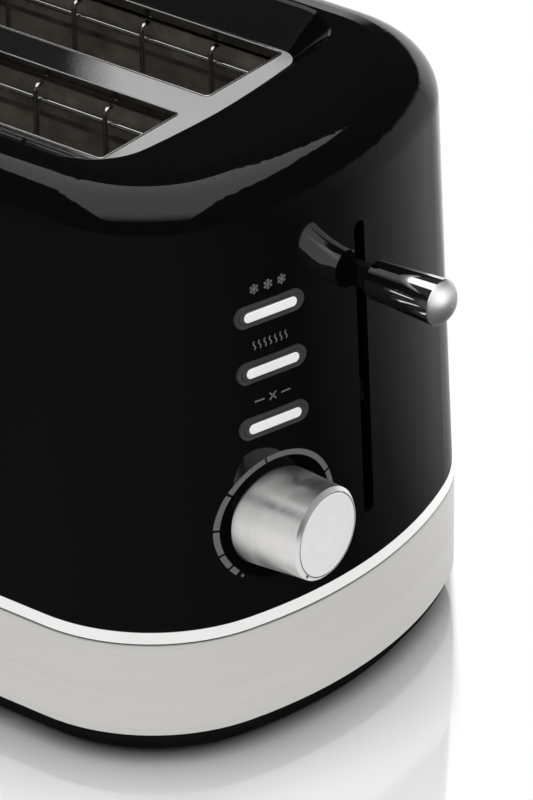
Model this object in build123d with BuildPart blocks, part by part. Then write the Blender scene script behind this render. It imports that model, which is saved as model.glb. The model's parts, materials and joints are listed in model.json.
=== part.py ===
"""Two-slice pop-up toaster, as an assembly of separate pieces.

Millimetres, +Z up, Z = 0 on the surface it stands on. The controls face -Y and the crumb tray
pulls out towards +Y. The origin is below the middle of the whole toaster, lever and tray handle
included, so the body's own middle stands a little behind it, at body_y.
"""
from build123d import *
from math import asin, cos, radians, sin, sqrt, tan
import os

os.makedirs("parts", exist_ok=True)

# ---------------------------------------------------------------- driving dimensions
# Body outline, seen from above: bowed ends, straight sides, round corners
body_width = 176.0
body_length = 276.0
corner_radius = 55.0
bow_radius = 155.0

# Heights
pan_skirt_bottom = 3.0
pan_floor_bottom = 5.0
pan_floor_top = 8.0
band_bottom = 11.0
band_top = 43.7
ring_bottom = 44.3
shell_bottom = 48.0
shoulder_height = 191.0
rim_height = 194.0
plate_top = 186.0

# Shell
shell_wall = 2.5
shell_foot_inset = 0.72
draft_angle = 2.16
shoulder_radius = 16.0
rim_land = 1.0

# Well in the top, from the rim down to the slot plate
rim_flare_side = 16.5
rim_flare_end = 10.0
rim_corner = 22.0
well_corner = 8.0
well_bow = 370.0

# Slot plate and bread slots
plate_sheet = 1.0
plate_lap = 2.2
slot_width = 38.0
slot_length = 138.0
slot_pitch = 52.0
slot_margin_side = 1.5
slot_margin_end = 9.0
slot_corner = 1.5
slot_lip = 1.2
slot_lip_depth = 3.0

# Band, ring and pan
band_sheet = 1.2
band_edge = 0.3
pan_wall = 2.5
pan_skirt_inset = 5.0
ring_rib_height = 4.0
ring_rib_wall = 1.5
ring_gap = 0.25
ring_post_gap = 1.0
foot_radius = 9.0
foot_edge = 1.0
foot_inset_side = 30.0
foot_inset_end = 46.0
vent_length = 58.0
vent_width = 5.0
vent_pitch = 14.0
vent_row_pitch = 76.0
vents_per_row = 6
post_radius = 5.0
post_y = 55.0
post_gap = 0.5
boss_height = 32.0
rib_width = 2.5
screw_radius = 1.5
screw_gap = 0.15
screw_head_radius = 3.1
screw_head_height = 2.0

# Crumb tray
tray_half_width = 54.0
tray_sheet = 0.8
tray_height = 6.5
tray_front_gap = 2.0
tray_gap = 0.35
tray_opening_bottom = 13.0
tray_opening_height = 11.0
tray_side_gap = 2.0
tray_grip_reach = 8.0
tray_grip_half_width = 22.0
tray_grip_thickness = 4.0
tray_handle_wall = 2.5
tray_end_inset = 12.0
tray_rail_width = 2.0
tray_runner_inset = 8.0

# Toasting chamber
chamber_end_gap = 6.0
frame_sheet = 1.0
frame_flange = 8.0
frame_arch_gap = 1.0
frame_foot_x = 56.0
frame_foot_width = 10.0
frame_foot_reach = 12.0
frame_screw_reach = 7.0
reflector_gap = 4.8
reflector_sheet = 0.8
mica_sheet = 0.6
mica_outer_gap = 6.2
mica_inner_gap = 6.6
mica_bottom = 30.0
mica_top = 179.0
ribbon_width = 1.6
ribbon_sheet = 0.3
ribbon_rows = 12
ribbon_notch_depth = 2.5
wire_radius = 1.0
pivot_gap = 0.05
pivot_end = 4.0
rail_overlap = 1.6
guard_inner_inset = 3.0
guard_outer_inset = 2.0
guard_pivot_height = 32.0
guard_top = 180.0
guard_pitch = 28.0
guard_hook = 3.0
guard_bend = 1.6
guard_wires = 4
guard_rail_heights = (66.0, 120.0, 175.0)
guard_rail_end_gap = 11.0

# Bread racks and carriage
rack_height = 109.5
rack_spine_height = 6.5
rack_spine_sheet = 1.2
rack_half_width = 13.5
rack_wires = 9
rack_wire_pitch = 15.5
rack_slot_gap = 1.4
lever_drop = 75.0
lever_lift = 10.0
carriage_gap = 9.0
carriage_sheet = 1.2
carriage_bottom = 104.0
carriage_top = 152.0
carriage_left = -32.0
carriage_right = 43.0
carriage_corner = 4.0
carriage_window_places = (-20.0, 34.0)
carriage_window_length = 16.0
carriage_window_height = 9.0
carriage_window_drop = 12.0
ear_reach = 14.0
ear_margin = 2.0
stop_gap = 0.3
rod_x = 12.0
rod_reach = 6.5
rod_radius = 3.0
rod_edge = 0.5
rod_top = 183.0
running_gap = 0.05
bush_wall = 1.75
bush_bottom = 104.5
bush_top = 129.5
ear_upper = 127.0
ear_lower = 106.0
spring_x = 24.0
spring_radius = 3.4
spring_wire = 0.6
spring_turns = 15
bracket_height = 180.0
bracket_margin = 7.0
bracket_reach = 22.0

# Lever
lever_height = 147.9
lever_neck_width = 3.0
lever_neck_height = 8.0
lever_slot_width = 5.0
lever_slot_below = 4.2
lever_slot_above = 4.2
lever_stand_off = 5.4
lever_back_radius = 6.2
lever_front_radius = 7.5
lever_length = 24.9
lever_dome = 4.2
lever_edge = 0.5
lever_socket = 13.0

# Electromagnet and mains switch
magnet_x = -15.0
magnet_setback = 2.0
magnet_foot = 4.0
magnet_depth = 10.0
magnet_top = 40.0
magnet_leg_wide = 5.0
magnet_leg_narrow = 3.0
magnet_half_width = 11.0
coil_wall = 2.5
coil_top_gap = 3.0
bracket_sheet = 2.0
keeper_thickness = 3.0
contact_x = 33.0
contact_half_width = 9.0
contact_depth = 13.0
contact_block_top = 24.0
contact_top = 36.0
contact_sheet = 1.2
contact_leaf_width = 4.5
contact_leaf_length = 5.0
contact_margin = 1.0

# Buttons
button_x = -39.0
button_top_height = 151.2
button_pitch = 19.0
button_names = ("defrost_button", "reheat_button", "cancel_button")
bezel_length = 26.0
bezel_height = 7.2
bezel_rim = 1.3
bezel_proud = 0.5
bezel_flange = 1.6
bezel_barrel_wall = 0.55
bezel_depth = 4.6
button_gap = 0.15
button_proud = 0.8
button_edge = 0.2
button_travel = 1.5
button_collar = 1.2
collar_gap = 0.5
bar_length = 19.9
bar_height = 3.3
bar_proud = 0.35
bar_edge = 0.3
bar_seat = 1.0
stem_radius = 2.0
stem_gap = 2.4

# Browning knob
knob_x = -38.5
knob_height = 79.4
knob_base_radius = 16.75
knob_face_radius = 15.25
knob_stand = 11.7
knob_well_depth = 13.0
knob_well_gap = 0.5
knob_wall = 2.0
knob_bevel = 1.1
knob_groove = 0.35
knob_disc_radius = 13.6
knob_disc_rim = 0.8
knob_disc_thickness = 2.2
knob_dish_radius = 60.0
knob_hub_radius = 5.5
shaft_radius = 3.0
shaft_hole_gap = 1.5

# Control board
board_setback = 34.0
board_sheet = 1.6
board_left = -66.0
board_right = -13.0
board_bottom = 62.0
board_top = 166.0
board_margin = 4.0
standoff_radius = 3.0
standoff_gap = 1.0
board_blocks = (
    # across and up from the board's lower left corner, then width, height and depth
    (10.0, 30.0, 12.0, 16.0, 8.0),
    (42.0, 42.0, 9.0, 12.0, 6.0),
    (11.0, 58.0, 8.0, 18.0, 3.0),
)
capacitor_across = 10.0
capacitor_up = 83.0
capacitor_radius = 4.0
capacitor_length = 9.0
switch_size = 6.0
switch_depth = 3.6
switch_stub_radius = 1.75
switch_stub = 3.4
pot_radius = 8.5
pot_depth = 6.0
pot_neck_radius = 4.2
pot_neck = 4.0

# Cord inlet
gland_x = -68.0
gland_y = 20.0
terminal_pitch = 24.0
terminal_width = 10.0
terminal_length = 26.0
terminal_height = 14.0
terminal_hole_pitch = 8.6
terminal_hole_radius = 2.0
terminal_hole_depth = 7.0
gland_bore = 3.7
gland_wall = 1.6
gland_flange = 2.5
gland_top = 16.0

# ---------------------------------------------------------------- derived sizes
body_half = body_length / 2
well_half_width = (slot_pitch + slot_width) / 2 + slot_margin_side
well_half_length = slot_length / 2 + slot_margin_end
rim_half_width = well_half_width + rim_flare_side
rim_half_length = well_half_length + rim_flare_end
chamber_half_length = slot_length / 2 + chamber_end_gap
guard_inner_x = (slot_pitch - slot_width) / 2 + guard_inner_inset
guard_outer_x = (slot_pitch + slot_width) / 2 - guard_outer_inset
guard_half_length = chamber_half_length - guard_rail_end_gap
mica_inner_x = guard_inner_x - mica_inner_gap
mica_outer_x = guard_outer_x + mica_outer_gap
reflector_x = mica_outer_x + reflector_gap
frame_half_width = reflector_x + frame_flange
screw_y = chamber_half_length + frame_sheet + frame_screw_reach
foot_x = body_width / 2 - foot_inset_side
foot_y = body_half - foot_inset_end
carriage_y = -chamber_half_length - carriage_gap
mechanism_front = carriage_y - ear_reach
rod_y = carriage_y - rod_reach
magnet_y = (mechanism_front + carriage_y) / 2 - magnet_setback
lever_slot_bottom = lever_height - lever_drop - lever_neck_height / 2 - lever_slot_below
lever_slot_top = lever_height + lever_lift + lever_neck_height / 2 + lever_slot_above
lever_back_y = -(body_half - shell_foot_inset
                 - (lever_height - shell_bottom) * tan(radians(draft_angle))) - lever_stand_off
lever_tip_y = lever_back_y - lever_length - lever_dome
lever_dome_radius = (lever_front_radius**2 + lever_dome**2) / (2 * lever_dome)
rear_reach = body_half + tray_grip_reach
body_y = (-lever_tip_y - rear_reach) / 2
pan_inset = band_sheet
pan_inner_inset = pan_inset + pan_wall
rib_end = body_width / 2 - shell_foot_inset - shell_wall / 2
post_x = body_width / 2 - pan_inner_inset - post_gap - post_radius
slot_centres = (-slot_pitch / 2, slot_pitch / 2)
tray_front = -chamber_half_length + tray_front_gap
tray_rear = body_half - pan_inner_inset - tray_end_inset
tray_opening_half_width = tray_half_width + tray_side_gap
tray_bottom = tray_opening_bottom + tray_gap
tray_opening_top = tray_opening_bottom + tray_opening_height
frame_top = plate_top - plate_sheet
keeper_bottom = magnet_top + stop_gap + lever_drop
bridge_bottom = contact_top + stop_gap + lever_drop
knob_face_y = -body_half - knob_stand
knob_well_y = -body_half + knob_well_depth
board_y = -body_half + board_setback
board_width = board_right - board_left
board_height = board_top - board_bottom
standoff_left = board_left + board_margin
standoff_right = carriage_left - standoff_gap - standoff_radius
stub_y = board_y - switch_depth - switch_stub
button_heights = [button_top_height - i * button_pitch for i in range(len(button_names))]


# ---------------------------------------------------------------- planes and outlines
def level(height):
    """Horizontal plane at a height, centred on the body."""
    return Plane(origin=(0, body_y, height))


def facing(y):
    """Upright plane across the body that faces the front: its x is X and its y is Z."""
    return Plane(origin=(0, body_y + y, 0), x_dir=(1, 0, 0), z_dir=(0, -1, 0))


def sideways(x):
    """Upright plane along the body that faces +X: its x is Y and its y is Z."""
    return Plane(origin=(x, body_y, 0), x_dir=(0, 1, 0), z_dir=(1, 0, 0))


def wall_inset(height):
    """How far the shell's wall has drawn in at a height, because of its draft."""
    return shell_foot_inset + (height - shell_bottom) * tan(radians(draft_angle))


def front_wall(x, height):
    """Plane on the outside of the shell's front wall, facing out along the wall's normal."""
    bow = bow_radius - wall_inset(height)
    y = bow_radius - body_half - sqrt(bow**2 - x**2)
    turn = asin(x / bow)
    tilt = radians(draft_angle)
    normal = (sin(turn) * cos(tilt), -cos(turn) * cos(tilt), sin(tilt))
    return Plane(origin=(x, body_y + y, height), x_dir=(cos(turn), sin(turn), 0), z_dir=normal)


def bowed_outline(half_width, half_length, bow, corner):
    """Rectangle with bowed ends and round corners, centred on the origin."""
    square = half_length - bow + sqrt(bow**2 - half_width**2)
    with BuildSketch() as shape:
        with BuildLine():
            Line((half_width, -square), (half_width, square))
            ThreePointArc((half_width, square), (0, half_length), (-half_width, square))
            Line((-half_width, square), (-half_width, -square))
            ThreePointArc((-half_width, -square), (0, -half_length), (half_width, -square))
        make_face()
        fillet(shape.vertices(), corner)
    return shape.sketch


def outline(inset):
    """The body's plan outline, moved in by an inset."""
    return bowed_outline(body_width / 2 - inset, body_half - inset,
                         bow_radius - inset, corner_radius - inset)


def shell_form(depth):
    """The shell's outer form moved in by a depth: drafted wall, round shoulder, low crown."""
    crown_inset = body_width / 2 - rim_half_width - rim_land
    with BuildPart() as form:
        with BuildSketch(level(shell_bottom)):
            add(outline(wall_inset(shell_bottom) + depth))
        with BuildSketch(level(shoulder_height - depth)):
            add(outline(wall_inset(shoulder_height) + depth))
        loft(ruled=True)
        with BuildSketch(level(shoulder_height - depth)):
            add(outline(wall_inset(shoulder_height) + depth))
        with BuildSketch(level(rim_height - depth)):
            add(outline(crown_inset))
        loft(ruled=True)
        shoulder = form.edges().filter_by_position(
            Axis.Z, shoulder_height - depth - 0.01, shoulder_height - depth + 0.01)
        fillet(shoulder, shoulder_radius - depth)
    return form.part


def well_form(grow):
    """The well in the top, from the slot plate to the rim, with its walls moved out."""
    with BuildPart() as form:
        with BuildSketch(level(plate_top)):
            add(bowed_outline(well_half_width + grow, well_half_length + grow,
                              well_bow, well_corner + grow))
        with BuildSketch(level(rim_height)):
            add(bowed_outline(rim_half_width + grow, rim_half_length + grow,
                              well_bow, rim_corner + grow))
        loft(ruled=True)
    return form.part


def knob_boss():
    """Boss behind the browning knob, cut to the shell's outer form."""
    with BuildPart() as boss:
        with BuildSketch(facing(knob_well_y + knob_wall)):
            with Locations((knob_x, knob_height)):
                Circle(knob_base_radius + knob_well_gap + knob_wall)
        extrude(amount=body_half + knob_well_y + knob_wall)
        add(shell_form(0), mode=Mode.INTERSECT)
    return boss.part


# ---------------------------------------------------------------- housing
# One-piece moulded shell
shell_cavity = shell_form(shell_wall) - well_form(shell_wall)
with BuildPart() as outer_shell:
    add(shell_form(0))
    add(shell_cavity, mode=Mode.SUBTRACT)
    add(well_form(0), mode=Mode.SUBTRACT)
    add(knob_boss())
    with BuildSketch(facing(knob_well_y)):
        with Locations((knob_x, knob_height)):
            Circle(knob_base_radius + knob_well_gap)
    extrude(amount=body_half, mode=Mode.SUBTRACT)
    with BuildSketch(facing(knob_well_y + 2 * knob_wall)):
        with Locations((knob_x, knob_height)):
            Circle(shaft_radius + shaft_hole_gap)
    extrude(amount=4 * knob_wall, mode=Mode.SUBTRACT)
    with BuildSketch(facing(lever_back_y + 4 * shell_wall + lever_stand_off)):
        with Locations((0, (lever_slot_bottom + lever_slot_top) / 2)):
            SlotOverall(lever_slot_top - lever_slot_bottom, lever_slot_width, rotation=90)
    extrude(amount=8 * shell_wall, mode=Mode.SUBTRACT)
    for height in button_heights:
        with BuildSketch(front_wall(button_x, height).offset(bezel_proud - bezel_flange)):
            SlotOverall(bezel_length, bezel_height)
        extrude(amount=2 * bezel_flange, mode=Mode.SUBTRACT)
        with BuildSketch(front_wall(button_x, height)):
            SlotOverall(bezel_length - 2 * bezel_barrel_wall, bezel_height - 2 * bezel_barrel_wall)
        extrude(amount=-3 * shell_wall, mode=Mode.SUBTRACT)
    with BuildSketch(level(shell_bottom)):
        for x in (-post_x, post_x):
            for y in (-post_y, post_y):
                with Locations((x, y)):
                    Circle(post_radius)
                with Locations(((x + (rib_end if x > 0 else -rib_end)) / 2, y)):
                    Rectangle(rib_end - post_x, rib_width)
    extrude(amount=boss_height)
    with BuildSketch(level(shell_bottom)):
        with GridLocations(2 * post_x, 2 * post_y, 2, 2):
            Circle(screw_radius + screw_gap)
    extrude(amount=boss_height - 2 * shell_wall, mode=Mode.SUBTRACT)
outer_shell.part.label = "outer_shell"
export_step(outer_shell.part, "parts/outer_shell.step")

# Polished steel plate with two bread slots and turned-down lips
with BuildPart() as slot_plate:
    with BuildSketch(level(plate_top)):
        add(bowed_outline(well_half_width + plate_lap, well_half_length + plate_lap,
                          well_bow, well_corner + plate_lap))
    extrude(amount=-plate_sheet)
    with BuildSketch(level(plate_top)):
        with Locations(*[(x, 0) for x in slot_centres]):
            RectangleRounded(slot_width + 2 * slot_lip, slot_length + 2 * slot_lip,
                             slot_corner + slot_lip)
    extrude(amount=-slot_lip_depth)
    with BuildSketch(level(plate_top)):
        with Locations(*[(x, 0) for x in slot_centres]):
            RectangleRounded(slot_width, slot_length, slot_corner)
    extrude(amount=-slot_lip_depth, mode=Mode.SUBTRACT)
slot_plate.part.label = "slot_plate"
export_step(slot_plate.part, "parts/slot_plate.step")

# Bright bevelled ring between the shell and the band, with a rib that centres the shell
with BuildPart() as trim_ring:
    with BuildSketch(level(ring_bottom)):
        add(outline(0))
    with BuildSketch(level(shell_bottom)):
        add(outline(shell_foot_inset))
    loft(ruled=True)
    with BuildSketch(level(shell_bottom)):
        add(outline(shell_foot_inset + shell_wall + ring_gap))
    extrude(amount=ring_rib_height)
    with BuildSketch(level(ring_bottom)):
        add(outline(shell_foot_inset + shell_wall + ring_gap + ring_rib_wall))
    extrude(amount=shell_bottom - ring_bottom + ring_rib_height, mode=Mode.SUBTRACT)
    with BuildSketch(level(shell_bottom)):
        with GridLocations(2 * post_x, 2 * post_y, 2, 2):
            Rectangle(4 * post_radius, 2 * (post_radius + ring_post_gap))
    extrude(amount=ring_rib_height, mode=Mode.SUBTRACT)
    with BuildSketch(level(ring_bottom)):
        with GridLocations(2 * post_x, 2 * post_y, 2, 2):
            Circle(post_radius + ring_gap)
    extrude(amount=shell_bottom - ring_bottom, mode=Mode.SUBTRACT)
trim_ring.part.label = "trim_ring"
export_step(trim_ring.part, "parts/trim_ring.step")

# Brushed steel band round the base, open at the rear for the crumb tray
with BuildPart() as base_band:
    with BuildSketch(level(band_bottom)):
        add(outline(0))
        add(outline(band_sheet), mode=Mode.SUBTRACT)
    extrude(amount=band_top - band_bottom)
    with BuildSketch(facing(body_half)):
        with Locations((0, (tray_opening_bottom + tray_opening_top) / 2)):
            Rectangle(2 * tray_opening_half_width, tray_opening_height)
    extrude(amount=body_half / 2, both=True, mode=Mode.SUBTRACT)
    chamfer(base_band.faces().sort_by(Axis.Z)[-1].outer_wire().edges(), band_edge)
base_band.part.label = "base_band"
export_step(base_band.part, "parts/base_band.step")

# Moulded ring inside the band, which carries it, open at the rear for the crumb tray
with BuildPart() as band_carrier:
    with BuildSketch(level(band_bottom)):
        add(outline(pan_inset))
        add(outline(pan_inner_inset), mode=Mode.SUBTRACT)
    extrude(amount=ring_bottom - band_bottom)
    with BuildSketch(facing(body_half)):
        with Locations((0, (tray_opening_bottom + tray_opening_top) / 2)):
            Rectangle(2 * tray_opening_half_width, tray_opening_height)
    extrude(amount=body_half / 2, both=True, mode=Mode.SUBTRACT)
band_carrier.part.label = "band_carrier"
export_step(band_carrier.part, "parts/band_carrier.step")

# Moulded base pan: recessed skirt, floor with vents, ledge that the band carrier stands on
with BuildPart() as base_pan:
    with BuildSketch(level(pan_skirt_bottom)):
        add(outline(pan_skirt_inset))
    extrude(amount=pan_floor_top - pan_skirt_bottom)
    with BuildSketch(level(pan_skirt_bottom)):
        add(outline(pan_skirt_inset + pan_wall))
    extrude(amount=pan_floor_bottom - pan_skirt_bottom, mode=Mode.SUBTRACT)
    with BuildSketch(level(pan_floor_top)):
        add(outline(pan_inset))
        add(outline(pan_skirt_inset + pan_wall), mode=Mode.SUBTRACT)
    extrude(amount=band_bottom - pan_floor_top)
    with BuildSketch(level(pan_floor_top)):
        with GridLocations(2 * post_x, 2 * post_y, 2, 2):
            Circle(post_radius)
    extrude(amount=shell_bottom - pan_floor_top)
    with BuildSketch(level(pan_floor_top)):
        with GridLocations(2 * (tray_half_width - tray_runner_inset), 0, 2, 1):
            Rectangle(tray_rail_width, -2 * tray_front)
    extrude(amount=tray_opening_bottom - pan_floor_top)
    with BuildSketch(level(pan_floor_top)):
        with GridLocations(2 * tray_opening_half_width + tray_rail_width, 0, 2, 1):
            Rectangle(tray_rail_width, -2 * tray_front)
    extrude(amount=tray_bottom + tray_height - pan_floor_top)
    with BuildSketch(level(pan_floor_bottom)):
        with GridLocations(vent_pitch, vent_row_pitch, vents_per_row, 2):
            SlotOverall(vent_length, vent_width, rotation=90)
    extrude(amount=pan_floor_top - pan_floor_bottom, mode=Mode.SUBTRACT)
    with BuildSketch(level(pan_skirt_bottom)):
        with GridLocations(2 * post_x, 2 * post_y, 2, 2):
            Circle(screw_radius + screw_gap)
    extrude(amount=shell_bottom - pan_skirt_bottom, mode=Mode.SUBTRACT)
    with BuildSketch(level(pan_skirt_bottom)):
        with GridLocations(2 * post_x, 2 * post_y, 2, 2):
            Circle(screw_head_radius + screw_gap)
    extrude(amount=pan_floor_bottom - pan_skirt_bottom + screw_head_height, mode=Mode.SUBTRACT)
    with BuildSketch(level(pan_floor_bottom)):
        with GridLocations(2 * frame_foot_x, 2 * screw_y, 2, 2):
            Circle(screw_radius + screw_gap)
    extrude(amount=pan_floor_top - pan_floor_bottom, mode=Mode.SUBTRACT)
    with BuildSketch(level(pan_floor_bottom)):
        with Locations((gland_x, gland_y)):
            Circle(gland_bore + gland_wall)
    extrude(amount=pan_floor_top - pan_floor_bottom, mode=Mode.SUBTRACT)
base_pan.part.label = "base_pan"
export_step(base_pan.part, "parts/base_pan.step")

# Four rubber feet
with BuildPart() as feet:
    with BuildSketch(level(pan_floor_bottom)):
        with GridLocations(2 * foot_x, 2 * foot_y, 2, 2):
            Circle(foot_radius)
    extrude(amount=-pan_floor_bottom)
    chamfer(feet.faces().sort_by(Axis.Z)[:4].edges(), foot_edge)
feet.part.label = "feet"
export_step(feet.part, "parts/feet.step")

# Four long screws from below, through the pan's posts into the shell's bosses
with BuildPart() as base_screws:
    with BuildSketch(level(pan_floor_bottom)):
        with GridLocations(2 * post_x, 2 * post_y, 2, 2):
            Circle(screw_head_radius)
    extrude(amount=screw_head_height)
    with BuildSketch(level(pan_floor_bottom + screw_head_height)):
        with GridLocations(2 * post_x, 2 * post_y, 2, 2):
            Circle(screw_radius)
    extrude(amount=shell_bottom + boss_height / 2 - pan_floor_bottom - screw_head_height)
base_screws.part.label = "base_screws"
export_step(base_screws.part, "parts/base_screws.step")

# ---------------------------------------------------------------- crumb tray
with BuildPart() as crumb_tray:
    with BuildSketch(level(tray_bottom)):
        with Locations((0, (tray_front + tray_rear) / 2)):
            Rectangle(2 * tray_half_width, tray_rear - tray_front)
    extrude(amount=tray_height)
    with BuildSketch(level(tray_bottom + tray_sheet)):
        with Locations((0, (tray_front + tray_rear) / 2)):
            Rectangle(2 * (tray_half_width - tray_sheet), tray_rear - tray_front - 2 * tray_sheet)
    extrude(amount=tray_height, mode=Mode.SUBTRACT)
crumb_tray.part.label = "crumb_tray"
export_step(crumb_tray.part, "parts/crumb_tray.step")

# Handle that closes the tray's opening flush with the band, with a finger grip
with BuildPart() as tray_handle:
    handle_height = tray_opening_height - 2 * tray_gap
    with BuildSketch(level(tray_bottom)):
        with Locations((0, tray_rear)):
            Rectangle(2 * (tray_opening_half_width - tray_gap), body_half,
                      align=(Align.CENTER, Align.MIN))
        add(outline(0), mode=Mode.INTERSECT)
    extrude(amount=handle_height)
    with BuildSketch(level(tray_bottom + tray_handle_wall)):
        with Locations((0, tray_rear)):
            Rectangle(2 * (tray_opening_half_width - tray_gap - tray_handle_wall), body_half,
                      align=(Align.CENTER, Align.MIN))
        add(outline(tray_handle_wall), mode=Mode.INTERSECT)
    extrude(amount=handle_height - 2 * tray_handle_wall, mode=Mode.SUBTRACT)
    with BuildSketch(level(tray_bottom + (handle_height - tray_grip_thickness) / 2)):
        with Locations((0, body_half - tray_handle_wall)):
            Rectangle(2 * tray_grip_half_width, tray_handle_wall + tray_grip_reach,
                      align=(Align.CENTER, Align.MIN))
        with Locations((0, body_half + tray_grip_reach - tray_grip_half_width)):
            Circle(tray_grip_half_width, mode=Mode.INTERSECT)
    extrude(amount=tray_grip_thickness)
tray_handle.part.label = "tray_handle"
export_step(tray_handle.part, "parts/tray_handle.step")

# ---------------------------------------------------------------- toasting chamber
guard_places = {
    "guard_outer_left": (-guard_outer_x, -1),
    "guard_inner_left": (-guard_inner_x, 1),
    "guard_inner_right": (guard_inner_x, -1),
    "guard_outer_right": (guard_outer_x, 1),
}
rack_low = rack_height - rack_spine_height - lever_drop - rack_slot_gap
rack_high = rack_height + wire_radius + lever_lift + rack_slot_gap


# Sheet steel end frames that close the toasting chamber; outward is -1 at the front
def end_frame(outward):
    inner = outward * chamber_half_length
    outer = inner + outward * frame_sheet
    with BuildPart() as frame:
        with BuildSketch(facing(max(inner, outer))):
            with Locations((0, (pan_floor_top + frame_top) / 2)):
                Rectangle(2 * frame_half_width, frame_top - pan_floor_top)
            with Locations((0, pan_floor_top)):
                Rectangle(2 * (tray_opening_half_width + tray_rail_width + frame_arch_gap),
                          2 * (tray_bottom + tray_height + frame_arch_gap - pan_floor_top),
                          mode=Mode.SUBTRACT)
            for x in slot_centres:
                with Locations((x, (rack_low + rack_high) / 2)):
                    SlotOverall(rack_high - rack_low, rack_spine_sheet + 2 * rack_slot_gap,
                                rotation=90, mode=Mode.SUBTRACT)
            for x, _ in guard_places.values():
                with Locations((x, guard_pivot_height)):
                    Circle(wire_radius + pivot_gap, mode=Mode.SUBTRACT)
        extrude(amount=frame_sheet)
        with BuildSketch(level(pan_floor_top)):
            with GridLocations(2 * frame_foot_x, 0, 2, 1):
                with Locations((0, outer + outward * frame_foot_reach / 2)):
                    Rectangle(frame_foot_width, frame_foot_reach)
                with Locations((0, outer + outward * frame_screw_reach)):
                    Circle(screw_radius + screw_gap, mode=Mode.SUBTRACT)
        extrude(amount=frame_sheet)
    return frame.part


with BuildPart() as front_frame:
    add(end_frame(-1))
    with BuildSketch(level(bracket_height)):
        with Locations(((rod_x + spring_x) / 2, -chamber_half_length)):
            Rectangle(spring_x - rod_x + 2 * bracket_margin,
                      bracket_reach, align=(Align.CENTER, Align.MAX))
        with Locations((rod_x, rod_y)):
            Circle(rod_radius + running_gap, mode=Mode.SUBTRACT)
    extrude(amount=carriage_sheet)
front_frame.part.label = "front_frame"
export_step(front_frame.part, "parts/front_frame.step")

with BuildPart() as rear_frame:
    add(end_frame(1))
rear_frame.part.label = "rear_frame"
export_step(rear_frame.part, "parts/rear_frame.step")

# Four screws that hold the frames' feet to the pan
with BuildPart() as frame_screws:
    with BuildSketch(level(pan_floor_top + frame_sheet)):
        with GridLocations(2 * frame_foot_x, 2 * screw_y, 2, 2):
            Circle(screw_head_radius)
    extrude(amount=screw_head_height)
    with BuildSketch(level(pan_floor_bottom)):
        with GridLocations(2 * frame_foot_x, 2 * screw_y, 2, 2):
            Circle(screw_radius)
    extrude(amount=pan_floor_top + frame_sheet - pan_floor_bottom)
frame_screws.part.label = "frame_screws"
export_step(frame_screws.part, "parts/frame_screws.step")

# Reflector sheets outside the outer heater boards
for side, name in ((-1, "reflector_left"), (1, "reflector_right")):
    with BuildPart() as reflector:
        with BuildSketch(sideways(side * reflector_x)):
            with Locations((0, (mica_bottom + frame_top) / 2)):
                Rectangle(2 * chamber_half_length, frame_top - mica_bottom)
        extrude(amount=side * reflector_sheet)
    reflector.part.label = name
    export_step(reflector.part, f"parts/{name}.step")

# Mica heater boards, notched at both ends for the ribbon, and the ribbon's turns
ribbon_pitch = (mica_top - mica_bottom) / (ribbon_rows + 1)
ribbon_heights = [mica_bottom + (i + 1) * ribbon_pitch for i in range(ribbon_rows)]
ribbon_half = chamber_half_length - ribbon_notch_depth
for side, x, name in ((-1, mica_outer_x, "outer_left"), (-1, mica_inner_x, "inner_left"),
                      (1, mica_inner_x, "inner_right"), (1, mica_outer_x, "outer_right")):
    with BuildPart() as heater_board:
        with BuildSketch(sideways(side * x)):
            with Locations((0, (mica_bottom + mica_top) / 2)):
                Rectangle(2 * chamber_half_length, mica_top - mica_bottom)
            for height in ribbon_heights:
                with Locations((-chamber_half_length, height), (chamber_half_length, height)):
                    Rectangle(2 * ribbon_notch_depth, ribbon_width, mode=Mode.SUBTRACT)
        extrude(amount=side * mica_sheet)
    heater_board.part.label = f"heater_board_{name}"
    export_step(heater_board.part, f"parts/heater_board_{name}.step")

    with BuildPart() as heater_ribbon:
        for height in ribbon_heights:
            with BuildSketch(level(height - ribbon_width / 2)):
                with Locations((side * (x + mica_sheet / 2), 0)):
                    Rectangle(mica_sheet + 2 * ribbon_sheet, 2 * (ribbon_half + ribbon_sheet))
                    Rectangle(mica_sheet, 2 * ribbon_half, mode=Mode.SUBTRACT)
            extrude(amount=ribbon_width)
    heater_ribbon.part.label = f"heater_ribbon_{name}"
    export_step(heater_ribbon.part, f"parts/heater_ribbon_{name}.step")

# Wire guards that hold the bread: uprights with hooked tops, rails, and a pivot at the foot
for name, (x, outward) in guard_places.items():
    with BuildPart() as guard:
        with BuildSketch(facing(chamber_half_length + pivot_end)):
            with Locations((x, guard_pivot_height)):
                Circle(wire_radius)
        extrude(amount=2 * (chamber_half_length + pivot_end))
        for i in range(guard_wires):
            y = (i - (guard_wires - 1) / 2) * guard_pitch
            with BuildLine(facing(y)):
                FilletPolyline((x, guard_pivot_height), (x, guard_top),
                               (x + outward * guard_hook, guard_top), radius=guard_bend)
            with BuildSketch(level(guard_pivot_height)):
                with Locations((x, y)):
                    Circle(wire_radius)
            sweep()
        for height in guard_rail_heights:
            with BuildSketch(facing(guard_half_length)):
                with Locations((x + outward * wire_radius * rail_overlap, height)):
                    Circle(wire_radius)
            extrude(amount=2 * guard_half_length)
    guard.part.label = name
    export_step(guard.part, f"parts/{name}.step")

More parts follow.
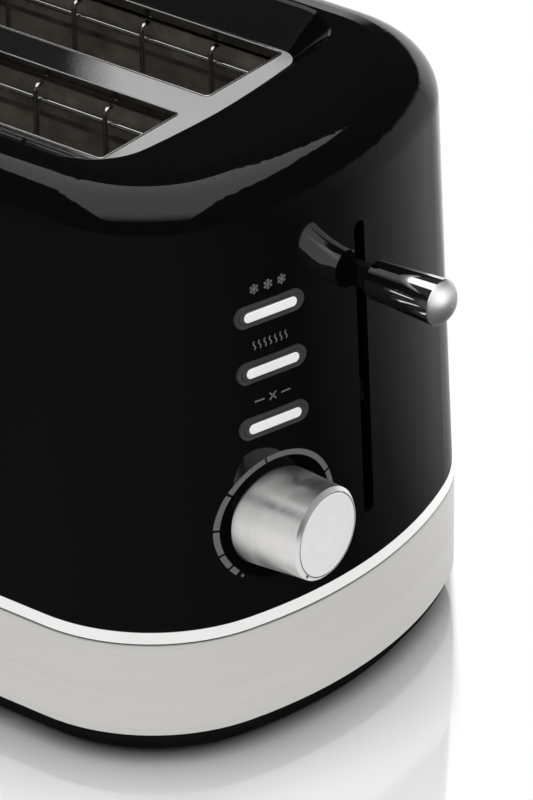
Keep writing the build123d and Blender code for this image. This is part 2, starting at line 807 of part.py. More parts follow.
# ---------------------------------------------------------------- lift mechanism
# Bread racks: a spine that runs out through the frames, with cross wires
for x, name in zip(slot_centres, ("bread_rack_left", "bread_rack_right")):
    with BuildPart() as bread_rack:
        rack_rear = chamber_half_length + frame_sheet + pivot_end
        with BuildSketch(sideways(x - rack_spine_sheet / 2)):
            with Locations(((carriage_y + carriage_sheet + rack_rear) / 2,
                            rack_height - rack_spine_height / 2)):
                Rectangle(rack_rear - carriage_y - carriage_sheet, rack_spine_height)
        extrude(amount=rack_spine_sheet)
        with BuildSketch(sideways(x - rack_half_width)):
            with Locations((0, rack_height)):
                with GridLocations(rack_wire_pitch, 0, rack_wires, 1):
                    Circle(wire_radius)
        extrude(amount=2 * rack_half_width)
    bread_rack.part.label = name
    export_step(bread_rack.part, f"parts/{name}.step")

# Carriage: a plate with ears for the bush, the spring, the keeper and the contact bridge
with BuildPart() as carriage:
    with BuildSketch(facing(carriage_y + carriage_sheet)):
        with Locations(((carriage_left + carriage_right) / 2,
                        (carriage_bottom + carriage_top) / 2)):
            RectangleRounded(carriage_right - carriage_left, carriage_top - carriage_bottom,
                             carriage_corner)
        for x in carriage_window_places:
            with Locations((x, carriage_top - carriage_window_drop)):
                SlotOverall(carriage_window_length, carriage_window_height, mode=Mode.SUBTRACT)
    extrude(amount=carriage_sheet)
    ear_half = rod_radius + bush_wall + ear_margin
    spring_ear = spring_x + spring_radius + ear_margin
    for height, ear_end in ((ear_upper, spring_ear), (ear_lower, rod_x + ear_half)):
        with BuildSketch(level(height)):
            with Locations((rod_x - ear_half, carriage_y)):
                Rectangle(ear_end - rod_x + ear_half, ear_reach, align=(Align.MIN, Align.MAX))
            with Locations((rod_x, rod_y)):
                Circle(rod_radius + bush_wall, mode=Mode.SUBTRACT)
        extrude(amount=carriage_sheet)
    for x, half, height in (
        (magnet_x, magnet_half_width, keeper_bottom + keeper_thickness),
        (contact_x, contact_half_width, bridge_bottom + contact_sheet),
    ):
        with BuildSketch(level(height)):
            with Locations((x, carriage_y)):
                Rectangle(2 * half, ear_reach, align=(Align.CENTER, Align.MAX))
        extrude(amount=carriage_sheet)
carriage.part.label = "carriage"
export_step(carriage.part, "parts/carriage.step")

# Bronze bush that runs on the guide rod
with BuildPart() as guide_bush:
    with BuildSketch(level(bush_bottom)):
        with Locations((rod_x, rod_y)):
            Circle(rod_radius + bush_wall)
            Circle(rod_radius + running_gap, mode=Mode.SUBTRACT)
    extrude(amount=bush_top - bush_bottom)
guide_bush.part.label = "guide_bush"
export_step(guide_bush.part, "parts/guide_bush.step")

with BuildPart() as guide_rod:
    with BuildSketch(level(pan_floor_top)):
        with Locations((rod_x, rod_y)):
            Circle(rod_radius)
    extrude(amount=rod_top - pan_floor_top)
    chamfer(guide_rod.edges().filter_by(GeomType.CIRCLE), rod_edge)
guide_rod.part.label = "guide_rod"
export_step(guide_rod.part, "parts/guide_rod.step")

# Tension spring between the frame's bracket and the carriage's upper ear
with BuildPart() as lift_spring:
    spring_bottom = ear_upper + carriage_sheet + spring_wire
    spring_height = bracket_height - spring_bottom - spring_wire
    with BuildLine() as coil:
        Helix(spring_height / spring_turns, spring_height, spring_radius,
              center=(spring_x, body_y + rod_y, spring_bottom))
    with BuildSketch(Plane(coil.line @ 0, z_dir=coil.line % 0)):
        Circle(spring_wire)
    sweep(is_frenet=True)
lift_spring.part.label = "lift_spring"
export_step(lift_spring.part, "parts/lift_spring.step")

# Steel arm from the carriage out through the slot, and the chrome lever on its end
with BuildPart() as lever_arm:
    arm_front = lever_back_y - lever_socket
    with BuildSketch(sideways(-lever_neck_width / 2)):
        with Locations(((carriage_y + arm_front) / 2, lever_height)):
            Rectangle(carriage_y - arm_front, lever_neck_height)
    extrude(amount=lever_neck_width)
lever_arm.part.label = "lever_arm"
export_step(lever_arm.part, "parts/lever_arm.step")

with BuildPart() as lever_knob:
    lever_front_y = lever_back_y - lever_length
    with BuildSketch(sideways(0)):
        with BuildLine():
            Polyline((lever_tip_y, lever_height),
                     (lever_back_y, lever_height),
                     (lever_back_y, lever_height + lever_back_radius - lever_edge),
                     (lever_back_y - lever_edge, lever_height + lever_back_radius),
                     (lever_front_y, lever_height + lever_front_radius))
            RadiusArc((lever_front_y, lever_height + lever_front_radius),
                      (lever_tip_y, lever_height), -lever_dome_radius)
        make_face()
    revolve(axis=Axis((0, body_y, lever_height), (0, 1, 0)))
    with BuildSketch(facing(lever_back_y)):
        with Locations((0, lever_height)):
            Rectangle(lever_neck_width, lever_neck_height)
    extrude(amount=lever_socket, mode=Mode.SUBTRACT)
lever_knob.part.label = "lever_knob"
export_step(lever_knob.part, "parts/lever_knob.step")

# ---------------------------------------------------------------- hold-down magnet and contacts
with BuildPart() as magnet_bracket:
    with BuildSketch(level(pan_floor_top)):
        with Locations((magnet_x, magnet_y)):
            Rectangle(2 * (magnet_half_width + magnet_foot), magnet_depth + magnet_foot)
    extrude(amount=bracket_sheet)
magnet_bracket.part.label = "magnet_bracket"
export_step(magnet_bracket.part, "parts/magnet_bracket.step")

with BuildPart() as magnet_core:
    core_bottom = pan_floor_top + bracket_sheet
    with BuildSketch(facing(magnet_y + magnet_depth / 2)):
        with Locations((magnet_x, (core_bottom + magnet_top) / 2)):
            Rectangle(2 * magnet_half_width, magnet_top - core_bottom)
        window = (2 * magnet_half_width - magnet_leg_wide - 2 * magnet_leg_narrow) / 2
        for side in (-1, 1):
            with Locations((magnet_x + side * (magnet_leg_wide + window) / 2,
                            magnet_top)):
                Rectangle(window, 2 * (magnet_top - core_bottom - magnet_leg_wide),
                          mode=Mode.SUBTRACT)
    extrude(amount=magnet_depth)
magnet_core.part.label = "magnet_core"
export_step(magnet_core.part, "parts/magnet_core.step")

with BuildPart() as magnet_coil:
    with BuildSketch(level(core_bottom + magnet_leg_wide)):
        with Locations((magnet_x, magnet_y)):
            Rectangle(magnet_leg_wide + 2 * coil_wall, magnet_depth + 2 * coil_wall)
            Rectangle(magnet_leg_wide, magnet_depth, mode=Mode.SUBTRACT)
    extrude(amount=magnet_top - core_bottom - magnet_leg_wide - coil_top_gap)
magnet_coil.part.label = "magnet_coil"
export_step(magnet_coil.part, "parts/magnet_coil.step")

with BuildPart() as magnet_keeper:
    with BuildSketch(level(keeper_bottom)):
        with Locations((magnet_x, magnet_y)):
            Rectangle(2 * magnet_half_width, magnet_depth)
    extrude(amount=keeper_thickness)
magnet_keeper.part.label = "magnet_keeper"
export_step(magnet_keeper.part, "parts/magnet_keeper.step")

# Mains switch: a block with two leaves, closed by a bridge on the carriage
with BuildPart() as contact_block:
    with BuildSketch(level(pan_floor_top)):
        with Locations((contact_x, magnet_y)):
            Rectangle(2 * contact_half_width, contact_depth)
    extrude(amount=contact_block_top - pan_floor_top)
contact_block.part.label = "contact_block"
export_step(contact_block.part, "parts/contact_block.step")

with BuildPart() as contact_leaves:
    with BuildSketch(level(contact_block_top)):
        with Locations((contact_x, magnet_y)):
            with GridLocations(contact_half_width, 0, 2, 1):
                Rectangle(contact_leaf_width, contact_sheet)
    extrude(amount=contact_top - contact_sheet - contact_block_top)
    with BuildSketch(level(contact_top - contact_sheet)):
        with Locations((contact_x, magnet_y)):
            with GridLocations(contact_half_width, 0, 2, 1):
                Rectangle(contact_leaf_width, contact_leaf_length)
    extrude(amount=contact_sheet)
contact_leaves.part.label = "contact_leaves"
export_step(contact_leaves.part, "parts/contact_leaves.step")

with BuildPart() as contact_bridge:
    with BuildSketch(level(bridge_bottom)):
        with Locations((contact_x, magnet_y)):
            Rectangle(2 * (contact_half_width - contact_margin), magnet_depth - 2 * contact_margin)
    extrude(amount=contact_sheet)
contact_bridge.part.label = "contact_bridge"
export_step(contact_bridge.part, "parts/contact_bridge.step")

# ---------------------------------------------------------------- buttons
# Stadium bezels, each set flush into the front wall
barrel_length = bezel_length - 2 * bezel_barrel_wall - 2 * button_gap
barrel_height = bezel_height - 2 * bezel_barrel_wall - 2 * button_gap
cap_length = bezel_length - 2 * bezel_rim - 2 * button_gap
cap_height = bezel_height - 2 * bezel_rim - 2 * button_gap
with BuildPart() as button_bezels:
    for height in button_heights:
        wall = front_wall(button_x, height)
        with BuildSketch(wall.offset(bezel_proud - bezel_flange)):
            SlotOverall(bezel_length, bezel_height)
        extrude(amount=bezel_flange)
        with BuildSketch(wall.offset(bezel_proud - bezel_flange)):
            SlotOverall(barrel_length, barrel_height)
        extrude(amount=bezel_flange - bezel_depth)
        with BuildSketch(wall.offset(bezel_proud)):
            SlotOverall(bezel_length - 2 * bezel_rim, bezel_height - 2 * bezel_rim)
        extrude(amount=-2 * bezel_depth, mode=Mode.SUBTRACT)
button_bezels.part.label = "button_bezels"
export_step(button_bezels.part, "parts/button_bezels.step")

# Button caps with their collars and stems, and the silver bar set into each cap
stem_tips = []
for height, name in zip(button_heights, button_names):
    wall = front_wall(button_x, height)
    reach = (stub_y + body_y - wall.origin.Y) / -wall.z_dir.Y
    collar_front = bezel_proud - bezel_depth - button_gap
    stem_tips.append(wall.offset(-reach).origin)
    with BuildPart() as button_cap:
        with BuildSketch(wall.offset(collar_front)):
            SlotOverall(cap_length, cap_height)
        extrude(amount=button_proud - collar_front)
        fillet(button_cap.faces().sort_by(Axis.Y)[0].edges(), button_edge)
        with BuildSketch(wall.offset(collar_front - button_collar)):
            SlotOverall(bezel_length - 2 * (bezel_barrel_wall + collar_gap),
                        bezel_height - 2 * (bezel_barrel_wall + collar_gap))
        extrude(amount=button_collar)
        with BuildSketch(wall.offset(collar_front)):
            Circle(stem_radius)
        extrude(amount=-(reach - stem_gap + collar_front))
        with BuildSketch(wall.offset(button_proud - bar_seat)):
            SlotOverall(bar_length, bar_height)
        extrude(amount=2 * bar_seat, mode=Mode.SUBTRACT)
    button_cap.part.label = name
    export_step(button_cap.part, f"parts/{name}.step")

    with BuildPart() as button_bar:
        with BuildSketch(wall.offset(button_proud - bar_seat)):
            SlotOverall(bar_length, bar_height)
        extrude(amount=bar_seat + bar_proud)
        fillet(button_bar.faces().sort_by(Axis.Y)[0].edges(), bar_edge)
    button_bar.part.label = f"{name}_bar"
    export_step(button_bar.part, f"parts/{name}_bar.step")

# ---------------------------------------------------------------- browning knob
knob_axis = Axis((knob_x, body_y, knob_height), (0, 1, 0))
knob_back_y = knob_well_y - knob_well_gap
knob_crown = knob_face_y + knob_bevel
with BuildPart() as knob_barrel:
    with BuildSketch(sideways(knob_x)):
        with BuildLine():
            Polyline((knob_back_y, knob_height + knob_base_radius - knob_wall),
                     (knob_back_y, knob_height + knob_base_radius),
                     (knob_crown, knob_height + knob_face_radius),
                     (knob_face_y, knob_height + knob_face_radius - knob_bevel),
                     (knob_face_y, knob_height + knob_disc_radius + knob_groove),
                     (knob_face_y + knob_disc_thickness,
                      knob_height + knob_disc_radius + knob_groove),
                     (knob_face_y + knob_disc_thickness, knob_height),
                     (knob_face_y + knob_disc_thickness + knob_wall, knob_height),
                     (knob_face_y + knob_disc_thickness + knob_wall,
                      knob_height + knob_face_radius - knob_wall),
                     close=True)
        make_face()
    revolve(axis=knob_axis)
    with BuildSketch(facing(knob_back_y)):
        with Locations((knob_x, knob_height)):
            Circle(knob_hub_radius)
    extrude(amount=knob_back_y - knob_face_y - knob_disc_thickness - knob_wall)
    with BuildSketch(facing(knob_back_y)):
        with Locations((knob_x, knob_height)):
            Circle(shaft_radius)
    extrude(amount=knob_back_y - knob_face_y - knob_disc_thickness - 2 * knob_wall,
            mode=Mode.SUBTRACT)
knob_barrel.part.label = "knob_barrel"
export_step(knob_barrel.part, "parts/knob_barrel.step")

# Satin disc set into the knob's face, slightly dished
with BuildPart() as knob_disc:
    with BuildSketch(facing(knob_face_y + knob_disc_thickness)):
        with Locations((knob_x, knob_height)):
            Circle(knob_disc_radius)
    extrude(amount=knob_disc_thickness)
    dish_reach = knob_disc_radius - knob_disc_rim
    dish_sag = knob_dish_radius - sqrt(knob_dish_radius**2 - dish_reach**2)
    with Locations((knob_x, body_y + knob_face_y - knob_dish_radius + dish_sag, knob_height)):
        Sphere(knob_dish_radius, mode=Mode.SUBTRACT)
knob_disc.part.label = "knob_disc"
export_step(knob_disc.part, "parts/knob_disc.step")

# Shaft that turns with the knob inside the potentiometer
with BuildPart() as knob_shaft:
    shaft_front = knob_face_y + knob_disc_thickness + 2 * knob_wall
    shaft_rear = board_y - pot_depth / 2
    with BuildSketch(facing(shaft_rear)):
        with Locations((knob_x, knob_height)):
            Circle(shaft_radius)
    extrude(amount=shaft_rear - shaft_front)
knob_shaft.part.label = "knob_shaft"
export_step(knob_shaft.part, "parts/knob_shaft.step")

# ---------------------------------------------------------------- control board
with BuildPart() as control_board:
    with BuildSketch(facing(board_y + board_sheet)):
        with Locations(((board_left + board_right) / 2, (board_bottom + board_top) / 2)):
            Rectangle(board_width, board_height)
        with Locations(((standoff_left + standoff_right) / 2, (board_bottom + board_top) / 2)):
            with GridLocations(standoff_right - standoff_left, board_height - 2 * board_margin, 2, 2):
                Circle(screw_radius + screw_gap, mode=Mode.SUBTRACT)
    extrude(amount=board_sheet)
control_board.part.label = "control_board"
export_step(control_board.part, "parts/control_board.step")

# Four standoffs from the front frame to the board
with BuildPart() as board_standoffs:
    with BuildSketch(facing(-chamber_half_length - frame_sheet)):
        with Locations(((standoff_left + standoff_right) / 2, (board_bottom + board_top) / 2)):
            with GridLocations(standoff_right - standoff_left, board_height - 2 * board_margin, 2, 2):
                Circle(standoff_radius)
    extrude(amount=-chamber_half_length - frame_sheet - board_y - board_sheet)
    with BuildSketch(facing(board_y + board_sheet)):
        with Locations(((standoff_left + standoff_right) / 2, (board_bottom + board_top) / 2)):
            with GridLocations(standoff_right - standoff_left, board_height - 2 * board_margin, 2, 2):
                Circle(screw_radius)
    extrude(amount=board_sheet)
board_standoffs.part.label = "board_standoffs"
export_step(board_standoffs.part, "parts/board_standoffs.step")

with BuildPart() as potentiometer:
    with BuildSketch(facing(board_y)):
        with Locations((knob_x, knob_height)):
            Circle(pot_radius)
    extrude(amount=pot_depth)
    with BuildSketch(facing(board_y - pot_depth)):
        with Locations((knob_x, knob_height)):
            Circle(pot_neck_radius)
    extrude(amount=pot_neck)
    with BuildSketch(facing(shaft_rear + running_gap)):
        with Locations((knob_x, knob_height)):
            Circle(shaft_radius + running_gap)
    extrude(amount=pot_depth + pot_neck, mode=Mode.SUBTRACT)
potentiometer.part.label = "potentiometer"
export_step(potentiometer.part, "parts/potentiometer.step")

# One push switch behind each button, in line with its stem
with BuildPart() as push_switches:
    for tip in stem_tips:
        with BuildSketch(facing(board_y)):
            with Locations((tip.X, tip.Z)):
                Rectangle(switch_size, switch_size)
        extrude(amount=switch_depth)
        with BuildSketch(facing(board_y - switch_depth)):
            with Locations((tip.X, tip.Z)):
                Circle(switch_stub_radius)
        extrude(amount=switch_stub)
push_switches.part.label = "push_switches"
export_step(push_switches.part, "parts/push_switches.step")

# Relay, capacitor and timer chip on the board
with BuildPart() as board_parts:
    for across, up, width, tall, deep in board_blocks:
        with BuildSketch(facing(board_y)):
            with Locations((board_left + across, board_bottom + up)):
                Rectangle(width, tall)
        extrude(amount=deep)
    with BuildSketch(facing(board_y)):
        with Locations((board_left + capacitor_across, board_bottom + capacitor_up)):
            Circle(capacitor_radius)
    extrude(amount=capacitor_length)
board_parts.part.label = "board_parts"
export_step(board_parts.part, "parts/board_parts.step")

# ---------------------------------------------------------------- mains inlet
with BuildPart() as terminal_block:
    with BuildSketch(level(pan_floor_top)):
        with Locations((gland_x, gland_y - terminal_pitch)):
            Rectangle(terminal_width, terminal_length)
    extrude(amount=terminal_height)
    with BuildSketch(level(pan_floor_top + terminal_height)):
        with Locations((gland_x, gland_y - terminal_pitch)):
            with GridLocations(0, terminal_hole_pitch, 1, 3):
                Circle(terminal_hole_radius)
    extrude(amount=-terminal_hole_depth, mode=Mode.SUBTRACT)
terminal_block.part.label = "terminal_block"
export_step(terminal_block.part, "parts/terminal_block.step")

# Flanged gland in the pan's floor, where the mains cord comes in
with BuildPart() as cord_gland:
    with BuildSketch(level(pan_floor_bottom)):
        with Locations((gland_x, gland_y)):
            Circle(gland_bore + gland_wall)
    extrude(amount=gland_top - pan_floor_bottom)
    with BuildSketch(level(pan_floor_top)):
        with Locations((gland_x, gland_y)):
            Circle(gland_bore + gland_wall + gland_flange)
    extrude(amount=gland_wall)
    with BuildSketch(level(pan_floor_bottom)):
        with Locations((gland_x, gland_y)):
            Circle(gland_bore)
    extrude(amount=gland_top - pan_floor_bottom, mode=Mode.SUBTRACT)
cord_gland.part.label = "cord_gland"
export_step(cord_gland.part, "parts/cord_gland.step")
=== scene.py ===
"""Looks of the two-slice pop-up toaster: camera, studio, materials and printed marks.

Metres, in the CAD frame: +Z up, the controls face -Y. CAD nodes keep their shapes and places.
"""
import json
from math import cos, pi, radians, sin, sqrt, tan

import bpy
from mathutils import Matrix, Quaternion, Vector
from mathutils.bvhtree import BVHTree

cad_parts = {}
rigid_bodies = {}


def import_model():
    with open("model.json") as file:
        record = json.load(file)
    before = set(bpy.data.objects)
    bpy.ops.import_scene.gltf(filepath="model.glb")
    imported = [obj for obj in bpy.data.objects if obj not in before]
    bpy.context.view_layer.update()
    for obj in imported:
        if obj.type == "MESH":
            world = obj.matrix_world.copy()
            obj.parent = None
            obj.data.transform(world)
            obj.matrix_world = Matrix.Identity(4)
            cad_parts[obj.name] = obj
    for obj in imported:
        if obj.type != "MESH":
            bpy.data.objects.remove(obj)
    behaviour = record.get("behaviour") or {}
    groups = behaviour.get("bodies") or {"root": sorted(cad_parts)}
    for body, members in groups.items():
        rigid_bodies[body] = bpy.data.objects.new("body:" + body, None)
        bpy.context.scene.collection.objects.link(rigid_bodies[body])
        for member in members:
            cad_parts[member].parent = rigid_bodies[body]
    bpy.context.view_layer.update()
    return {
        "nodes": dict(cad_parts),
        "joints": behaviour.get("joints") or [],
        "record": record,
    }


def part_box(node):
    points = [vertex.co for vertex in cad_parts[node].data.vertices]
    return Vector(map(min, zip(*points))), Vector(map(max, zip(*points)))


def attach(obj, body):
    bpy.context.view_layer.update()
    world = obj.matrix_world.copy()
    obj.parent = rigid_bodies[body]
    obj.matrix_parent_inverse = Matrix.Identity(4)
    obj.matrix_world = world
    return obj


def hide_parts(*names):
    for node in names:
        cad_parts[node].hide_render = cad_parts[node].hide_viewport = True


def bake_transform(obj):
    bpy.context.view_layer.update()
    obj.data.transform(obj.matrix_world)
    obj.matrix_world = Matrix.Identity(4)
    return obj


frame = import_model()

MM = 0.001
shell_low, shell_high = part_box("outer_shell")
body_y = (shell_low.y + shell_high.y) / 2
top_z = shell_high.z
nodes = frame["nodes"]


# ---------------------------------------------------------------- camera
def make_camera():
    """The viewing angle of a product shot: from the front left, looking down by 30 degrees."""
    azimuth, elevation, roll = radians(-51.887), radians(29.775), radians(-0.637)
    aim = Vector((0, body_y - 0.0964, 0.0908))
    distance = 1.8387
    forward = Vector((-sin(azimuth) * cos(elevation), cos(azimuth) * cos(elevation), -sin(elevation)))
    data = bpy.data.cameras.new("camera")
    data.lens = 263.9
    data.sensor_width = 36
    data.clip_end = 20
    camera = bpy.data.objects.new("camera", data)
    bpy.context.scene.collection.objects.link(camera)
    look = forward.to_track_quat("-Z", "Y").to_matrix().to_4x4()
    camera.matrix_world = Matrix.Translation(aim - forward * distance) @ look @ Matrix.Rotation(roll, 4, "Z")
    bpy.context.scene.camera = camera


make_camera()


# ---------------------------------------------------------------- node helpers
class Tree:
    """Short ways to build a node tree."""

    def __init__(self, tree):
        self.tree = tree

    def node(self, kind, **settings):
        made = self.tree.nodes.new(kind)
        for key, value in settings.items():
            setattr(made, key, value)
        return made

    def link(self, out, into):
        self.tree.links.new(out, into)
        return out

    def fill(self, socket, value):
        if isinstance(value, bpy.types.NodeSocket):
            self.link(value, socket)
        else:
            socket.default_value = value

    def math(self, operation, first, second=0.0):
        made = self.node("ShaderNodeMath", operation=operation)
        self.fill(made.inputs[0], first)
        self.fill(made.inputs[1], second)
        return made.outputs["Value"]

    def vector(self, operation, first, second=(0, 0, 0)):
        made = self.node("ShaderNodeVectorMath", operation=operation)
        self.fill(made.inputs[0], first)
        self.fill(made.inputs[1], second)
        return made.outputs["Value" if operation in ("DOT_PRODUCT", "LENGTH") else "Vector"]

    def ramp(self, value, stops):
        """Grey levels at positions from 0 to 1 along a value."""
        made = self.node("ShaderNodeValToRGB")
        elements = made.color_ramp.elements
        while len(elements) < len(stops):
            elements.new(1.0)
        for element, (position, level) in zip(elements, stops):
            element.position = position
            element.color = (level, level, level, 1)
        self.link(value, made.inputs["Fac"])
        return made.outputs["Color"]


class Surface(Tree):
    """A Principled material with short ways to add texture to it."""

    def __init__(self, name, color, metallic=0.0, roughness=0.5, **sockets):
        self.material = bpy.data.materials.new(name)
        self.material.use_nodes = True
        super().__init__(self.material.node_tree)
        self.shader = self.tree.nodes["Principled BSDF"]
        self.set("Base Color", (*color, 1))
        self.set("Metallic", metallic)
        self.set("Roughness", roughness)
        for key, value in sockets.items():
            self.set(key.replace("_", " "), value)
        self.place = self.node("ShaderNodeTexCoord").outputs["Object"]
        self.bumps = None

    def set(self, socket, value):
        self.shader.inputs[socket].default_value = value

    def stretched(self, scale, offset=(0, 0, 0)):
        """Object coordinates times a scale along each axis."""
        mapping = self.node("ShaderNodeMapping")
        mapping.inputs["Location"].default_value = offset
        mapping.inputs["Scale"].default_value = scale
        self.link(self.place, mapping.inputs["Vector"])
        return mapping.outputs["Vector"]

    def noise(self, scale, detail=3.0, rough=0.55, vector=None):
        made = self.node("ShaderNodeTexNoise")
        made.inputs["Scale"].default_value = scale
        made.inputs["Detail"].default_value = detail
        made.inputs["Roughness"].default_value = rough
        self.link(vector or self.place, made.inputs["Vector"])
        return made.outputs["Fac"]

    def cells(self, scale, feature="F1", vector=None):
        made = self.node("ShaderNodeTexVoronoi", feature=feature)
        made.inputs["Scale"].default_value = scale
        self.link(vector or self.place, made.inputs["Vector"])
        return made.outputs["Distance"]

    def ranged(self, value, low, high, start=0.3, end=0.7):
        made = self.node("ShaderNodeMapRange")
        made.inputs["From Min"].default_value = start
        made.inputs["From Max"].default_value = end
        made.inputs["To Min"].default_value = low
        made.inputs["To Max"].default_value = high
        self.link(value, made.inputs["Value"])
        return made.outputs["Result"]

    def roughen(self, value, low, high, start=0.3, end=0.7):
        self.link(self.ranged(value, low, high, start, end), self.shader.inputs["Roughness"])

    def tint(self, value, dark, light, start=0.3, end=0.7):
        ramp = self.node("ShaderNodeValToRGB")
        ramp.color_ramp.elements[0].position = start
        ramp.color_ramp.elements[1].position = end
        ramp.color_ramp.elements[0].color = (*dark, 1)
        ramp.color_ramp.elements[1].color = (*light, 1)
        self.link(value, ramp.inputs["Fac"])
        self.link(ramp.outputs["Color"], self.shader.inputs["Base Color"])
        return ramp.outputs["Color"]

    def soften_edges(self, radius):
        """Shades sharp edges as if broken to a small radius."""
        made = self.node("ShaderNodeBevel", samples=6)
        made.inputs["Radius"].default_value = radius
        self.bumps = made.outputs["Normal"]
        self.link(self.bumps, self.shader.inputs["Normal"])

    def bump(self, value, height, strength=1.0):
        made = self.node("ShaderNodeBump")
        made.inputs["Strength"].default_value = strength
        made.inputs["Distance"].default_value = height
        self.link(value, made.inputs["Height"])
        if self.bumps:
            self.link(self.bumps, made.inputs["Normal"])
        self.bumps = made.outputs["Normal"]
        self.link(self.bumps, self.shader.inputs["Normal"])


# ---------------------------------------------------------------- materials
# where painted shade turns the shell's reflection down: how far the well's sides reach past the plate, and
# the seat round the knob
WELL_SIDE_REACH = 17 * MM
WELL_END_REACH = 11 * MM
RIM_ROUND = 0.6 * MM
KNOB_SEAT_RADIUS = 20.2 * MM


def gloss_black():
    """Moulded gloss plastic: near black, with a faint orange peel, and with painted shade where marked: its
    reflection turned down in the well under the rim and round the knob.
    """
    s = Surface("shell_black", (0.0012, 0.0012, 0.0013), roughness=0.04)
    s.roughen(s.noise(35, detail=4), 0.03, 0.06)
    s.bump(s.noise(420, detail=1), 0.000005, 0.2)
    # painted shade: the well's sides under the rim get almost no reflection
    plate_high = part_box("slot_plate")[1]
    offset = s.vector("SUBTRACT", s.place, (0, body_y, 0))
    from_middle = s.node("ShaderNodeSeparateXYZ")
    s.link(s.vector("ABSOLUTE", offset), from_middle.inputs["Vector"])
    inside = s.math("MULTIPLY", s.math("LESS_THAN", from_middle.outputs["X"], plate_high.x + WELL_SIDE_REACH),
                    s.math("LESS_THAN", from_middle.outputs["Y"], plate_high.y - body_y + WELL_END_REACH))
    under = s.math("MULTIPLY", inside, s.math("LESS_THAN", from_middle.outputs["Z"], top_z - RIM_ROUND))
    # and so does the seat round the knob, inside its dial, painted dark where the knob's reflection would
    # show
    knob_low, knob_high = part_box("knob_barrel")
    seat = s.vector("MULTIPLY", s.vector("SUBTRACT", s.place, (knob_low + knob_high) / 2), (1, 0, 1))
    on_front = s.node("ShaderNodeSeparateXYZ")
    s.link(s.place, on_front.inputs["Vector"])
    near_knob = s.math("MULTIPLY", s.math("LESS_THAN", s.vector("LENGTH", seat), KNOB_SEAT_RADIUS),
                       s.math("LESS_THAN", on_front.outputs["Y"], body_y))
    painted_shade = s.math("MAXIMUM", under, near_knob)
    # painted shade: inside either mark the specular level falls from 0.5 to 0.04
    s.link(s.ranged(painted_shade, 0.5, 0.04, 0.0, 1.0), s.shader.inputs["Specular IOR Level"])
    return s.material


def moulded(name, dark, light, roughness, grain=900, depth=0.00006, specular=0.3):
    """Matte or satin moulded plastic with a fine spark-eroded grain."""
    s = Surface(name, dark, roughness=roughness, Specular_IOR_Level=specular)
    s.tint(s.noise(60, detail=5), dark, light)
    s.roughen(s.noise(grain / 2, detail=2), roughness - 0.06, roughness + 0.08)
    s.bump(s.noise(grain, detail=2), depth, 0.5)
    return s.material


def brushed(name, dark, light, roughness, stretch, depth=0.000012, aniso=0.5):
    """Brushed metal whose streaks run along the axes with a small stretch."""
    s = Surface(name, light, metallic=1.0, roughness=roughness, Anisotropic=aniso)
    fine = s.noise(1.0, detail=5, rough=0.7, vector=s.stretched(stretch))
    broad = s.noise(1.0, detail=2, vector=s.stretched([c * 0.12 for c in stretch]))
    s.tint(fine, dark, light, 0.25, 0.75)
    s.roughen(broad, roughness * 0.8, roughness * 1.25)
    s.bump(fine, depth, 0.6)
    return s.material


def bright(name, color, roughness=0.06, smear=40, depth=0.000004, edge=0.0):
    """Plated or polished metal with faint smears."""
    s = Surface(name, color, metallic=1.0, roughness=roughness)
    if edge:
        s.soften_edges(edge)
    s.roughen(s.noise(smear, detail=4), roughness * 0.6, roughness * 1.7)
    s.bump(s.noise(smear * 18, detail=2), depth, 0.3)
    return s.material


def domed_chrome():
    """Chrome barrel whose domed end is satin."""
    s = Surface("lever_chrome", (0.88, 0.88, 0.89), metallic=1.0, roughness=0.05)
    low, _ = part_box("lever_knob")
    along = s.node("ShaderNodeSeparateXYZ")
    s.link(s.place, along.inputs["Vector"])
    s.roughen(along.outputs["Y"], 0.42, 0.05, low.y + 3.6 * MM, low.y + 4.4 * MM)
    s.bump(s.noise(450, detail=2), 0.000004, 0.3)
    return s.material


def mica():
    """Pressed mica sheet: flaky, mottled brown grey, with a dull shine."""
    s = Surface("mica", (0.16, 0.12, 0.085), roughness=0.45, Specular_IOR_Level=0.6)
    flakes = s.cells(260, vector=s.stretched((1, 1, 1.6)))
    cloud = s.noise(70, detail=6, rough=0.65)
    s.tint(cloud, (0.040, 0.034, 0.027), (0.15, 0.13, 0.105), 0.25, 0.75)
    s.roughen(flakes, 0.30, 0.62, 0.1, 0.8)
    s.bump(flakes, 0.0002, 0.6)
    s.bump(cloud, 0.0002, 0.3)
    return s.material


def oxidised():
    """Nickel-chrome ribbon, heat-stained."""
    s = Surface("ribbon", (0.2, 0.18, 0.16), metallic=0.9, roughness=0.5)
    s.tint(s.noise(120, detail=4), (0.10, 0.085, 0.08), (0.30, 0.27, 0.24))
    s.bump(s.noise(1500, detail=1), 0.00002, 0.5)
    return s.material


def solder_mask():
    """Green board with faint copper tracks under the mask."""
    s = Surface("board_green", (0.01, 0.09, 0.035), roughness=0.3, Coat_Weight=0.3)
    tracks = s.cells(180, feature="DISTANCE_TO_EDGE")
    s.tint(tracks, (0.025, 0.16, 0.06), (0.008, 0.07, 0.028), 0.04, 0.10)
    s.bump(tracks, 0.00005, 0.4)
    return s.material


def windings(name, dark, light):
    """Enamelled copper wire wound in close turns."""
    s = Surface(name, light, metallic=0.8, roughness=0.3)
    turns = s.node("ShaderNodeTexWave", wave_type="BANDS", bands_direction="Z")
    turns.inputs["Scale"].default_value = 320
    s.link(s.place, turns.inputs["Vector"])
    s.tint(turns.outputs["Fac"], dark, light, 0.1, 0.7)
    s.bump(turns.outputs["Fac"], 0.0002, 0.8)
    return s.material


def printed():
    """Pale grey pad print, very slightly uneven."""
    s = Surface("print_grey", (0.10, 0.10, 0.10), roughness=0.55, Specular_IOR_Level=0.3)
    s.tint(s.noise(2500, detail=2), (0.095, 0.095, 0.095), (0.125, 0.125, 0.125))
    s.bump(s.noise(4000, detail=1), 0.00001, 0.3)
    return s.material


